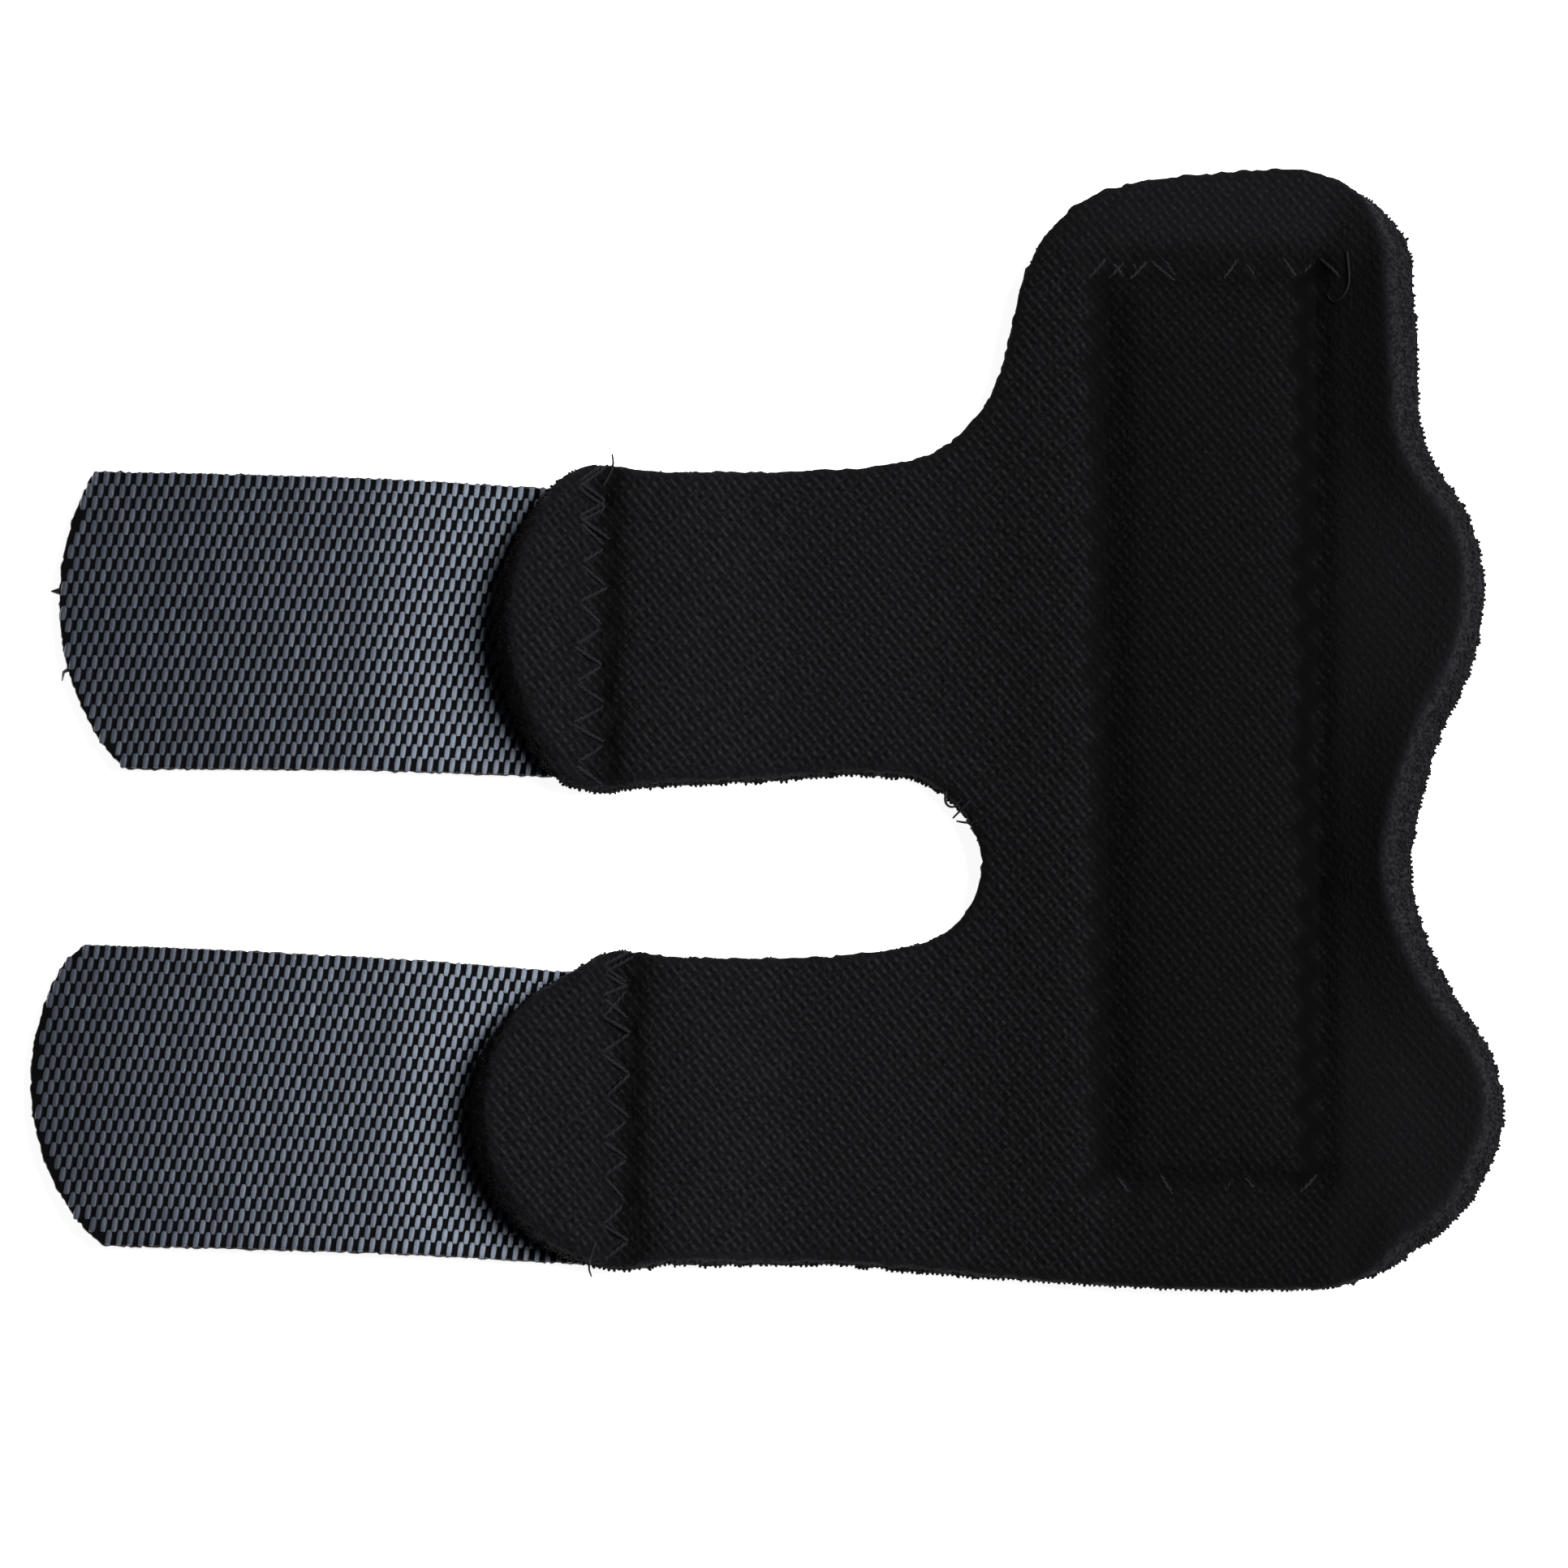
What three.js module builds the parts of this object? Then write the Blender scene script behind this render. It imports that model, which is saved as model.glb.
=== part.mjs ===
// Finger splint laid open on a table, in millimetres.
//
// One cushioned cloth sheet is the body: an upright panel with a curled flange on its right and two
// arms on its left. Each arm ends in a round flap, and a woven strap is sewn on under the flap. A strip
// sewn along the panel's underside is the pocket of the stiff stay.
//
// Frame: +X towards the flange, +Y towards the head of the panel, +Z up. The origin is on the table,
// under the middle of the outline.

import * as THREE from 'three';

// Driving dimensions
const CLOTH = 3.0; // thickness of the cushioned sheet
const GAP = 0.3; // left between pieces that are sewn together
const STRAP_WIDTH = 20.0;
const STRAP_THICKNESS = 1.8; // woven ground and the hooks under it
const STRAP_TUCK = 2.4; // length of strap past its seam, hidden under the arm
const CORNER_BOW = 0.05; // how far the cut of a tip's corner swells, as a share of the corner
const POCKET_HEIGHT = 2.3; // strip and stay together
const POCKET_HEM = 1.2; // thickness of the strip at its cut edge
const POCKET_MARGIN = 1.5; // from the seam to the strip's cut edge
const POCKET_CORNER = 2.5;
const POCKET_SIDE = 2.8; // width of the pocket's rounded sides

// The stitched rectangle that holds the stay
const STAY_SEAM = { left: 23.1, right: 37.1, bottom: -31.5, top: 31.5 };

// How seams, cut edges and the stay shape the cloth
const SEAM_DEPTH = 1.1; // how far a seam presses the face down
const SEAM_SPREAD = 1.0; // half width of that furrow
const SEAM_BULGE = { front: 0.6, back: 1.3 }; // how far the pressed cloth swells out at an arm's edges
const BULGE_SPREAD = 1.9;
const PANEL_CROWN = 0.7; // how far the cloth over the stay stands up
const EDGE_ROLL = 0.2; // how far the face rolls down at a cut edge
const EDGE_ROLL_WIDTH = 1.2;

// How the sheet lies: the arms touch the table, the stay lifts the panel, and the flange curls up
const ARM_FLAT = { from: 2.0, to: 10.0 };
const ARM_UNDERSIDE_AT_SEAM = STRAP_THICKNESS + GAP;
const PANEL_UNDERSIDE = POCKET_HEIGHT + GAP;
const SLOPE_TO_PANEL = 0.28;
const FLANGE_RISE = 3.4; // height of the flange's edge over the panel
const FLANGE_POWER = 2.3; // the flange starts level and grows steeper
const FLANGE_LEAST_WIDTH = 6.0;
const FLANGE_FADE = 0.5; // share of the rise that is lost at the head and the foot
const END_LENGTH = 7.0; // from the stay's seam to the end of the head or the foot
const END_DROOP = 0.7; // how far those ends sink

// The two arms: their seam, their flap's tip and the underside there, and their front and back edges
const SLOT_MIDDLE_Y = -8.8;
const ARMS = {
  upper: { seam: -11.9, tip: -18.9, tipHeight: 4.0, tipSlope: -0.45, front: -4.0, back: 17.5 },
  lower: { seam: -10.3, tip: -20.4, tipHeight: 4.4, tipSlope: -0.4, front: -37.1, back: -15.9 },
};

// The body's outline, counter-clockwise. Each row's bow is how far the edge that follows it swells out
// from the straight line to the next row, or draws in where it is negative.
const BODY_OUTLINE = [
  // front edge of the lower arm, and the foot
  { x: -9.0, y: -36.6, bow: 0.0 },
  { x: 4.0, y: -36.2, bow: 0.0 },
  { x: 24.0, y: -37.9, bow: 0.1 },
  { x: 35.5, y: -38.1, bow: 0.8 },
  // the flange: lower lobe, waist, upper lobe and neck
  { x: 45.0, y: -35.2, bow: 1.1 },
  { x: 49.6, y: -26.5, bow: 0.5 },
  { x: 47.4, y: -20.4, bow: -0.8 },
  { x: 43.4, y: -9.8, bow: -0.3 },
  { x: 45.8, y: -0.3, bow: 0.7 },
  { x: 48.5, y: 9.2, bow: 0.7 },
  { x: 46.1, y: 16.5, bow: -0.5 },
  { x: 44.2, y: 21.6, bow: 0.1 },
  // the head
  { x: 43.9, y: 30.0, bow: 1.2 },
  { x: 40.4, y: 36.8, bow: 0.3 },
  { x: 35.4, y: 38.2, bow: 0.1 },
  { x: 25.9, y: 37.4, bow: 1.6 },
  { x: 17.7, y: 30.9, bow: 0.0 },
  // the shoulder and the upper arm with its flap
  { x: 16.6, y: 25.9, bow: -1.1 },
  { x: 11.0, y: 19.1, bow: -0.15 },
  { x: 5.7, y: 18.2, bow: 0.0 },
  { x: -9.0, y: 17.5, bow: 0.0 },
  { x: -14.8, y: 16.7, bow: 4.1 },
  { x: -14.4, y: -3.5, bow: 0.0 },
  { x: -9.0, y: -3.9, bow: 0.0 },
  // the slot between the arms
  { x: 5.7, y: -2.6, bow: 0.1 },
  { x: 9.5, y: -2.8, bow: -1.1 },
  { x: 14.9, y: -8.6, bow: -1.3 },
  { x: 10.8, y: -14.5, bow: -0.2 },
  { x: 2.4, y: -15.5, bow: 0.0 },
  // back edge of the lower arm, and its flap
  { x: -7.0, y: -15.9, bow: 0.0 },
  { x: -12.1, y: -16.6, bow: 7.2 },
  { x: -13.9, y: -36.1, bow: 0.0 },
];

// The straps. y is the middle of the sewn end, and turn is how far the strap swings back from the arm's
// line. The tip's two corners are cut off and stand back from its bowed end, and the arch lifts the strap
// off the table.
const STRAPS = {
  upper: {
    y: 6.9,
    turn: 1.5,
    length: 38.5,
    widening: 0.8,
    tipBow: 2.5,
    back: { setback: 1.8, corner: 0.4 },
    front: { setback: 3.2, corner: 1.7 },
    arch: [
      { x: 3.6, z: 0.0, slope: 0.0 },
      { x: 18.0, z: 1.2, slope: 0.0 },
      { x: 38.5, z: 0.0, slope: -0.1 },
    ],
  },
  lower: {
    y: -26.6,
    turn: 2.6,
    length: 41.8,
    widening: 0.8,
    tipBow: 2.4,
    back: { setback: 1.6, corner: 1.5 },
    front: { setback: 3.2, corner: 2.2 },
    arch: [
      { x: 3.6, z: 0.0, slope: 0.0 },
      { x: 18.0, z: 1.5, slope: 0.0 },
      { x: 31.0, z: 1.2, slope: -0.06 },
      { x: 41.8, z: 0.0, slope: -0.18 },
    ],
  },
};

// Spacing of the points that the surfaces are drawn through
const EDGE_STEP = 1.8;
const FURROW_STEP = 2.2;
const FILL_STEP = 2.7;
const STRAP_STEP = 2.6;
const FURROW_SIDE = 1.2; // from a seam to the rows of points beside it
const CLEAR_SHARE = 0.6; // points keep this share of a step from each other

const CLOTH_BLACK = new THREE.MeshStandardMaterial({ color: 0x17171b, roughness: 0.95, metalness: 0 });
const POCKET_BLACK = new THREE.MeshStandardMaterial({ color: 0x131316, roughness: 0.95, metalness: 0 });
const STRAP_GREY = new THREE.MeshStandardMaterial({ color: 0x343842, roughness: 0.5, metalness: 0 });

// Height along a profile whose rows give x, height and slope, smooth between the rows
function profileHeight(rows, x) {
  const first = rows[0];
  const last = rows[rows.length - 1];
  if (x <= first.x) {
    return first.z + first.slope * (x - first.x);
  }
  if (x >= last.x) {
    return last.z;
  }
  const next = rows.findIndex((row) => row.x > x);
  const from = rows[next - 1];
  const to = rows[next];
  const run = to.x - from.x;
  const t = (x - from.x) / run;
  const risen = t * t * (3 - 2 * t);
  const leaving = t * (1 - t) * (1 - t) * run * from.slope;
  const arriving = t * t * (1 - t) * run * to.slope;
  return from.z + (to.z - from.z) * risen + leaving - arriving;
}

// The edge between two corners of an outline: a line, or an arc that swells out by its bow
function edgeCurve(from, to, bow) {
  if (bow === 0) {
    return new THREE.LineCurve(from, to);
  }
  const along = to.clone().sub(from);
  const outward = new THREE.Vector2(along.y, -along.x).normalize();
  const half = along.length() / 2;
  const radius = (half * half + bow * bow) / (2 * Math.abs(bow));
  const middle = from.clone().lerp(to, 0.5);
  const centre = middle.addScaledVector(outward, bow - Math.sign(bow) * radius);
  const start = from.clone().sub(centre).angle();
  const end = to.clone().sub(centre).angle();
  return new THREE.EllipseCurve(centre.x, centre.y, radius, radius, start, end, bow < 0);
}

// The points of a closed outline, about a step apart
function outlinePoints(rows, step) {
  return rows.flatMap((row, i) => {
    const next = rows[(i + 1) % rows.length];
    const edge = edgeCurve(new THREE.Vector2(row.x, row.y), new THREE.Vector2(next.x, next.y), row.bow);
    const count = Math.max(1, Math.round(edge.getLength() / step));
    return edge.getSpacedPoints(count).slice(0, -1);
  });
}

// Each point of an outline moved out of the sheet by its offset, or into it by a negative one
function offsetOutline(outline, offsetAt) {
  return outline.map((point, i) => {
    const before = outline.at(i - 1);
    const after = outline[(i + 1) % outline.length];
    const outward = new THREE.Vector2(after.y - before.y, before.x - after.x).normalize();
    return point.clone().addScaledVector(outward, offsetAt(point, outward));
  });
}

function distanceToOutline(outline, point) {
  let least = Infinity;
  outline.forEach((from, i) => {
    const along = outline[(i + 1) % outline.length].clone().sub(from);
    const offset = point.clone().sub(from);
    const t = THREE.MathUtils.clamp(offset.dot(along) / along.lengthSq(), 0, 1);
    least = Math.min(least, offset.addScaledVector(along, -t).length());
  });
  return least;
}

// The x of each place where an outline crosses the line at y
function crossingsAt(outline, y) {
  return outline.flatMap((a, i) => {
    const b = outline[(i + 1) % outline.length];
    return a.y > y === b.y > y ? [] : [a.x + ((b.x - a.x) * (y - a.y)) / (b.y - a.y)];
  });
}

function isInside(outline, point) {
  return crossingsAt(outline, point.y).filter((x) => x > point.x).length % 2 === 1;
}

// A triangular lattice of points over the outline's box
function latticePoints(outline, step) {
  const box = new THREE.Box2().setFromPoints(outline);
  const rowStep = step * Math.sin(Math.PI / 3);
  const points = [];
  for (let row = 0; box.min.y + row * rowStep < box.max.y; row += 1) {
    const start = box.min.x + (row % 2) * (step / 2);
    for (let x = start; x < box.max.x; x += step) {
      points.push(new THREE.Vector2(x, box.min.y + row * rowStep));
    }
  }
  return points;
}

function pointsBetween(from, to, step) {
  const count = Math.max(1, Math.round(from.distanceTo(to) / step));
  return new THREE.LineCurve(from, to).getSpacedPoints(count);
}

// The outline's points, then those of each set that lie inside it and clear of the points before them
function gatherPoints(outline, sets) {
  const points = [...outline];
  sets.forEach(({ candidates, step }) => {
    candidates.forEach((candidate) => {
      const free = points.every((point) => point.distanceTo(candidate) > CLEAR_SHARE * step);
      if (free && isInside(outline, candidate)) {
        points.push(candidate);
      }
    });
  });
  return points;
}

// A triangle, its corners counter-clockwise, with the circle through them
function circledTriangle(points, a, b, c) {
  const start = points[a];
  const toB = points[b].clone().sub(start);
  const toC = points[c].clone().sub(start);
  const turn = toB.cross(toC);
  const offset = new THREE.Vector2(
    toC.y * toB.lengthSq() - toB.y * toC.lengthSq(),
    toB.x * toC.lengthSq() - toC.x * toB.lengthSq(),
  ).divideScalar(2 * turn);
  const corners = turn > 0 ? [a, b, c] : [a, c, b];
  return { corners, centre: start.clone().add(offset), radius: offset.length() };
}

// Joins scattered points into triangles whose circles hold no other point
function triangulate(points) {
  const far = 1000;
  const frame = [new THREE.Vector2(-far, -far), new THREE.Vector2(far, -far), new THREE.Vector2(0, far)];
  const all = [...points, ...frame];
  const count = points.length;
  let triangles = [circledTriangle(all, count, count + 1, count + 2)];
  points.forEach((point, added) => {
    const rim = new Map();
    const kept = [];
    triangles.forEach((triangle) => {
      if (triangle.centre.distanceTo(point) >= triangle.radius) {
        kept.push(triangle);
        return;
      }
      triangle.corners.forEach((corner, i) => {
        const other = triangle.corners[(i + 1) % 3];
        const key = [corner, other].sort().join();
        if (!rim.delete(key)) {
          rim.set(key, [corner, other]);
        }
      });
    });
    rim.forEach(([from, to]) => kept.push(circledTriangle(all, from, to, added)));
    triangles = kept;
  });
  return triangles.map((triangle) => triangle.corners).filter((corners) => Math.max(...corners) < count);
}

// A closed sheet over the points, the first of which are its outline. topAt and underAt give the
// corners of its two faces, and a wall joins them round the outline.
function sheetGeometry(outline, points, topAt, underAt) {
  const count = points.length;
  const corners = [];
  triangulate(points).forEach(([a, b, c]) => {
    const middle = points[a].clone().add(points[b]).add(points[c]).divideScalar(3);
    if (isInside(outline, middle)) {
      corners.push(a, b, c, a + count, c + count, b + count);
    }
  });
  outline.forEach((_, i) => {
    const next = (i + 1) % outline.length;
    corners.push(i, i + count, next + count, i, next + count, next);
  });
  const geometry = new THREE.BufferGeometry().setFromPoints([...points.map(topAt), ...points.map(underAt)]);
  geometry.setIndex(corners);
  geometry.computeVertexNormals();
  return geometry;
}

function armAt(y) {
  return y > SLOT_MIDDLE_Y ? ARMS.upper : ARMS.lower;
}

// The body's cut edge, a little wider where an arm's seam presses the cloth
const bodyEdge = offsetOutline(outlinePoints(BODY_OUTLINE, EDGE_STEP), (point, outward) => {
  const fromSeam = point.x - armAt(point.y).seam;
  const bulge = outward.y > 0 ? SEAM_BULGE.back : SEAM_BULGE.front;
  return bulge * Math.exp(-((fromSeam / BULGE_SPREAD) ** 2));
});

// How far inside the body's cut edge a point is, negative outside it
function depthInBody(point) {
  const distance = distanceToOutline(bodyEdge, point);
  return isInside(bodyEdge, point) ? distance : -distance;
}

// How far past the stay's pocket a point is, as a share of the length of the head or the foot
function shareOfEnd(y) {
  const past = Math.max(0, y - STAY_SEAM.top, STAY_SEAM.bottom - y);
  return Math.min(1, past / END_LENGTH);
}

// Height of the body's underside: up at the flap, over the strap's end at the seam, down on the table,
// then up over the pocket and along the curled flange
function undersideHeight(x, y) {
  const arm = armAt(y);
  const level = profileHeight(
    [
      { x: arm.tip, z: arm.tipHeight, slope: arm.tipSlope },
      { x: arm.seam, z: ARM_UNDERSIDE_AT_SEAM, slope: 0 },
      { x: arm.seam + STRAP_TUCK + GAP, z: ARM_UNDERSIDE_AT_SEAM, slope: 0 },
      { x: ARM_FLAT.from, z: 0, slope: 0 },
      { x: ARM_FLAT.to, z: 0, slope: 0 },
      { x: STAY_SEAM.left, z: PANEL_UNDERSIDE, slope: SLOPE_TO_PANEL },
    ],
    x,
  );
  const end = shareOfEnd(y);
  const panelShare = THREE.MathUtils.smoothstep(x, ARM_FLAT.to, STAY_SEAM.left);
  const droop = END_DROOP * panelShare * end * end;
  const reach = Math.max(0, x - STAY_SEAM.right);
  const width = Math.max(FLANGE_LEAST_WIDTH, reach + depthInBody(new THREE.Vector2(x, y)));
  const rise = FLANGE_RISE * (1 - FLANGE_FADE * end) * (reach / width) ** FLANGE_POWER;
  return level - droop + rise;
}

// Distance from the stitched rectangle of the stay, negative inside it
function distanceToStaySeam(point) {
  const across = Math.max(STAY_SEAM.left - point.x, point.x - STAY_SEAM.right);
  const along = Math.max(STAY_SEAM.bottom - point.y, point.y - STAY_SEAM.top);
  return Math.hypot(Math.max(across, 0), Math.max(along, 0)) + Math.min(Math.max(across, along), 0);
}

// The cloth's thickness: pressed at the seams and the cut edge, and crowned over the stay
function clothThickness(point) {
  const fromStaySeam = distanceToStaySeam(point);
  const fromSeam = Math.min(Math.abs(point.x - armAt(point.y).seam), Math.abs(fromStaySeam));
  const pressed = SEAM_DEPTH * Math.exp(-((fromSeam / SEAM_SPREAD) ** 2));
  const inward = Math.max(0, -fromStaySeam) / ((STAY_SEAM.right - STAY_SEAM.left) / 2);
  const crown = PANEL_CROWN * inward * (2 - inward);
  const nearEdge = Math.max(0, 1 - distanceToOutline(bodyEdge, point) / EDGE_ROLL_WIDTH);
  return CLOTH + crown - pressed - EDGE_ROLL * nearEdge * nearEdge;
}

// The way up from the underside, square to it
function faceDirection(x, y) {
  const nudge = 0.2;
  const slopeX = (undersideHeight(x + nudge, y) - undersideHeight(x - nudge, y)) / (2 * nudge);
  const slopeY = (undersideHeight(x, y + nudge) - undersideHeight(x, y - nudge)) / (2 * nudge);
  return new THREE.Vector3(-slopeX, -slopeY, 1).normalize();
}

// Rows of points in each seam's furrow and along both its sides
function furrowPoints() {
  return [0, -FURROW_SIDE, FURROW_SIDE].flatMap((beside) => {
    const corners = [
      new THREE.Vector2(STAY_SEAM.left - beside, STAY_SEAM.bottom - beside),
      new THREE.Vector2(STAY_SEAM.right + beside, STAY_SEAM.bottom - beside),
      new THREE.Vector2(STAY_SEAM.right + beside, STAY_SEAM.top + beside),
      new THREE.Vector2(STAY_SEAM.left - beside, STAY_SEAM.top + beside),
    ];
    const round = corners.flatMap((corner, i) => pointsBetween(corner, corners[(i + 1) % 4], FURROW_STEP));
    const across = Object.values(ARMS).flatMap((arm) => {
      const front = new THREE.Vector2(arm.seam + beside, arm.front);
      const back = new THREE.Vector2(arm.seam + beside, arm.back);
      return pointsBetween(front, back, FURROW_STEP);
    });
    return [...round, ...across];
  });
}

function bodyGeometry() {
  const points = gatherPoints(bodyEdge, [
    { candidates: furrowPoints(), step: SEAM_SPREAD },
    { candidates: offsetOutline(bodyEdge, () => -EDGE_ROLL_WIDTH), step: EDGE_STEP },
    { candidates: latticePoints(bodyEdge, FILL_STEP), step: FILL_STEP },
  ]);
  const underAt = ({ x, y }) => new THREE.Vector3(x, y, undersideHeight(x, y));
  const topAt = (point) => {
    const direction = faceDirection(point.x, point.y);
    return underAt(point).addScaledVector(direction, clothThickness(point));
  };
  return sheetGeometry(bodyEdge, points, topAt, underAt);
}

// The bow of a quarter circle
function quarterBow(radius) {
  return radius * (1 - Math.SQRT1_2);
}

// The rows of a rectangle's outline with round corners
function roundedRectangle(left, right, bottom, top, radius) {
  const bow = quarterBow(radius);
  return [
    { x: left + radius, y: bottom, bow: 0 },
    { x: right - radius, y: bottom, bow },
    { x: right, y: bottom + radius, bow: 0 },
    { x: right, y: top - radius, bow },
    { x: right - radius, y: top, bow: 0 },
    { x: left + radius, y: top, bow },
    { x: left, y: top - radius, bow: 0 },
    { x: left, y: bottom + radius, bow },
  ];
}

// The pocket: flat on the table in the middle, with sides that round up to the seam
function pocketGeometry() {
  const rows = roundedRectangle(
    STAY_SEAM.left - POCKET_MARGIN,
    STAY_SEAM.right + POCKET_MARGIN,
    STAY_SEAM.bottom - POCKET_MARGIN,
    STAY_SEAM.top + POCKET_MARGIN,
    POCKET_CORNER,
  );
  const outline = outlinePoints(rows, EDGE_STEP);
  const points = gatherPoints(outline, [
    { candidates: offsetOutline(outline, () => -POCKET_MARGIN), step: EDGE_STEP },
    { candidates: offsetOutline(outline, () => -POCKET_SIDE), step: EDGE_STEP },
    { candidates: latticePoints(outline, FILL_STEP), step: FILL_STEP },
  ]);
  const topAt = ({ x, y }) => new THREE.Vector3(x, y, undersideHeight(x, y) - GAP);
  const underAt = (point) => {
    const top = topAt(point);
    const side = 1 - THREE.MathUtils.smoothstep(distanceToOutline(outline, point), 0, POCKET_SIDE - GAP);
    return top.setZ(side * (top.z - POCKET_HEM));
  };
  return sheetGeometry(outline, points, topAt, underAt);
}

// A strap along +X from its sewn end, resting on z = 0
function strapGeometry({ length, widening, tipBow, back, front, arch }) {
  const endHalf = (STRAP_WIDTH - widening / 2) / 2;
  const tipHalf = (STRAP_WIDTH + widening / 2) / 2;
  const outline = outlinePoints(
    [
      { x: 0, y: -endHalf, bow: 0 },
      { x: length - back.setback - back.corner, y: -tipHalf, bow: CORNER_BOW * back.corner },
      { x: length - back.setback, y: back.corner - tipHalf, bow: tipBow },
      { x: length - front.setback, y: tipHalf - front.corner, bow: CORNER_BOW * front.corner },
      { x: length - front.setback - front.corner, y: tipHalf, bow: 0 },
      { x: 0, y: endHalf, bow: 0 },
    ],
    STRAP_STEP,
  );
  const points = gatherPoints(outline, [{ candidates: latticePoints(outline, STRAP_STEP), step: STRAP_STEP }]);
  const underAt = ({ x, y }) => new THREE.Vector3(x, y, profileHeight(arch, x));
  const topAt = (point) => underAt(point).add(new THREE.Vector3(0, 0, STRAP_THICKNESS));
  return sheetGeometry(outline, points, topAt, underAt);
}

function namedMesh(name, geometry, material) {
  const mesh = new THREE.Mesh(geometry, material);
  mesh.name = name;
  return mesh;
}

const splint = new THREE.Group();
splint.add(namedMesh('body_sheet', bodyGeometry(), CLOTH_BLACK));
splint.add(namedMesh('stay_pocket', pocketGeometry(), POCKET_BLACK));
Object.entries(STRAPS).forEach(([side, strap]) => {
  const mesh = namedMesh(`${side}_strap`, strapGeometry(strap), STRAP_GREY);
  mesh.position.set(ARMS[side].seam + STRAP_TUCK, strap.y, 0);
  mesh.rotation.z = Math.PI - THREE.MathUtils.degToRad(strap.turn);
  splint.add(mesh);
});

export default splint;
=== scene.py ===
# Finger splint laid open: the looks of its cloth, straps and seams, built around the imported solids.

import math

import bmesh
import bpy
import numpy as np
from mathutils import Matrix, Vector, noise
from mathutils.bvhtree import BVHTree


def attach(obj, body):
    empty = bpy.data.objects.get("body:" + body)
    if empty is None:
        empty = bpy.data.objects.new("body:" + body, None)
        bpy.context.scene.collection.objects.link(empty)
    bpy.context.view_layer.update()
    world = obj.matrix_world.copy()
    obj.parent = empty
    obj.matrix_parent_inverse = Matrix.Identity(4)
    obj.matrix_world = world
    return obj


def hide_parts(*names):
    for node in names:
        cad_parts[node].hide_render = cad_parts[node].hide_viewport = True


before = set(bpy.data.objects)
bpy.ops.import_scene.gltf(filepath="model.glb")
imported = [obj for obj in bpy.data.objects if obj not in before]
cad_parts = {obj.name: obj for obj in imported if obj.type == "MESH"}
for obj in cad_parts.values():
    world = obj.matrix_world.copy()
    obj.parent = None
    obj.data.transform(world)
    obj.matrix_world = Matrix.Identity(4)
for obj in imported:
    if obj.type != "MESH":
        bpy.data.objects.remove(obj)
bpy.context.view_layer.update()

# Body
# One sheet of cushioned cloth: thin foam between a knit face and a brushed back, die-cut to its outline.
# Zigzag seams press it, and the foam shows as a pale grain along its cut edge.

MM = 0.001
CLOTH_GRAIN = 0.34 * MM  # spacing of the finished surface's points
SAME_POINT = 0.01 * MM
RIM_ANGLE = math.radians(31)  # edges sharper than this part a sheet's two faces from its cut edge
FACE_LOOK, BACK_LOOK = 0.6, -0.5  # how far up the face looks, and how far down the back
RIM_CREASE = 0.8
RIM_BLEND = 0.7 * MM
SUBDIVISIONS = 2
SOFTENING = {"factor": 0.5, "iterations": 3}
PILE_SIZE = 0.55 * MM
PILE_HEIGHT = 0.12 * MM
FOAM_HEIGHT = 0.2 * MM
RIM_PINCHED = 0.8 * MM  # the die leaves the knit flat as far in as this


def choose(piece):
    bpy.ops.object.select_all(action="DESELECT")
    piece.select_set(True)
    bpy.context.view_layer.objects.active = piece


def apply_modifier(piece, kind, **settings):
    modifier = piece.modifiers.new(kind.lower(), kind)
    for setting, value in settings.items():
        setattr(modifier, setting, value)
    choose(piece)
    bpy.ops.object.modifier_apply(modifier=modifier.name)


def copy_of_node(node, name):
    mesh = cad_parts[node].data.copy()
    mesh.materials.clear()
    piece = bpy.data.objects.new(name, mesh)
    bpy.context.collection.objects.link(piece)
    choose(piece)
    bpy.ops.object.mode_set(mode="EDIT")
    bpy.ops.mesh.select_all(action="SELECT")
    bpy.ops.mesh.remove_doubles(threshold=SAME_POINT)
    bpy.ops.object.mode_set(mode="OBJECT")
    return piece


def points_of(mesh, field="co"):
    flat = np.empty(3 * len(mesh.vertices))
    mesh.vertices.foreach_get(field, flat)
    return flat.reshape(-1, 3)


def move_points(mesh, points):
    mesh.vertices.foreach_set("co", points.ravel())
    mesh.update()


def keep_on_points(mesh, name, values):
    mesh.attributes.new(name, "FLOAT", "POINT").data.foreach_set("value", values.astype(np.float32))


# The regions of a sheet between its sharp edges: face, back or cut edge, by how far up they look
def zones_of(mesh):
    shape = bmesh.new()
    shape.from_mesh(mesh)
    zones = {}
    for start in shape.faces:
        if start.index in zones:
            continue
        region = {start}
        ahead = [start]
        while ahead:
            for edge in ahead.pop().edges:
                if edge.calc_face_angle(0.0) < RIM_ANGLE:
                    fresh = set(edge.link_faces) - region
                    region |= fresh
                    ahead.extend(fresh)
        area = sum(face.calc_area() for face in region)
        look = sum(face.calc_area() * face.normal.z for face in region) / area
        zone = "face" if look > FACE_LOOK else "back" if look < BACK_LOOK else "edge"
        zones.update({face.index: zone for face in region})
    rims = [e.index for e in shape.edges if len({zones[face.index] for face in e.link_faces}) > 1]
    shape.free()
    return zones, rims


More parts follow.
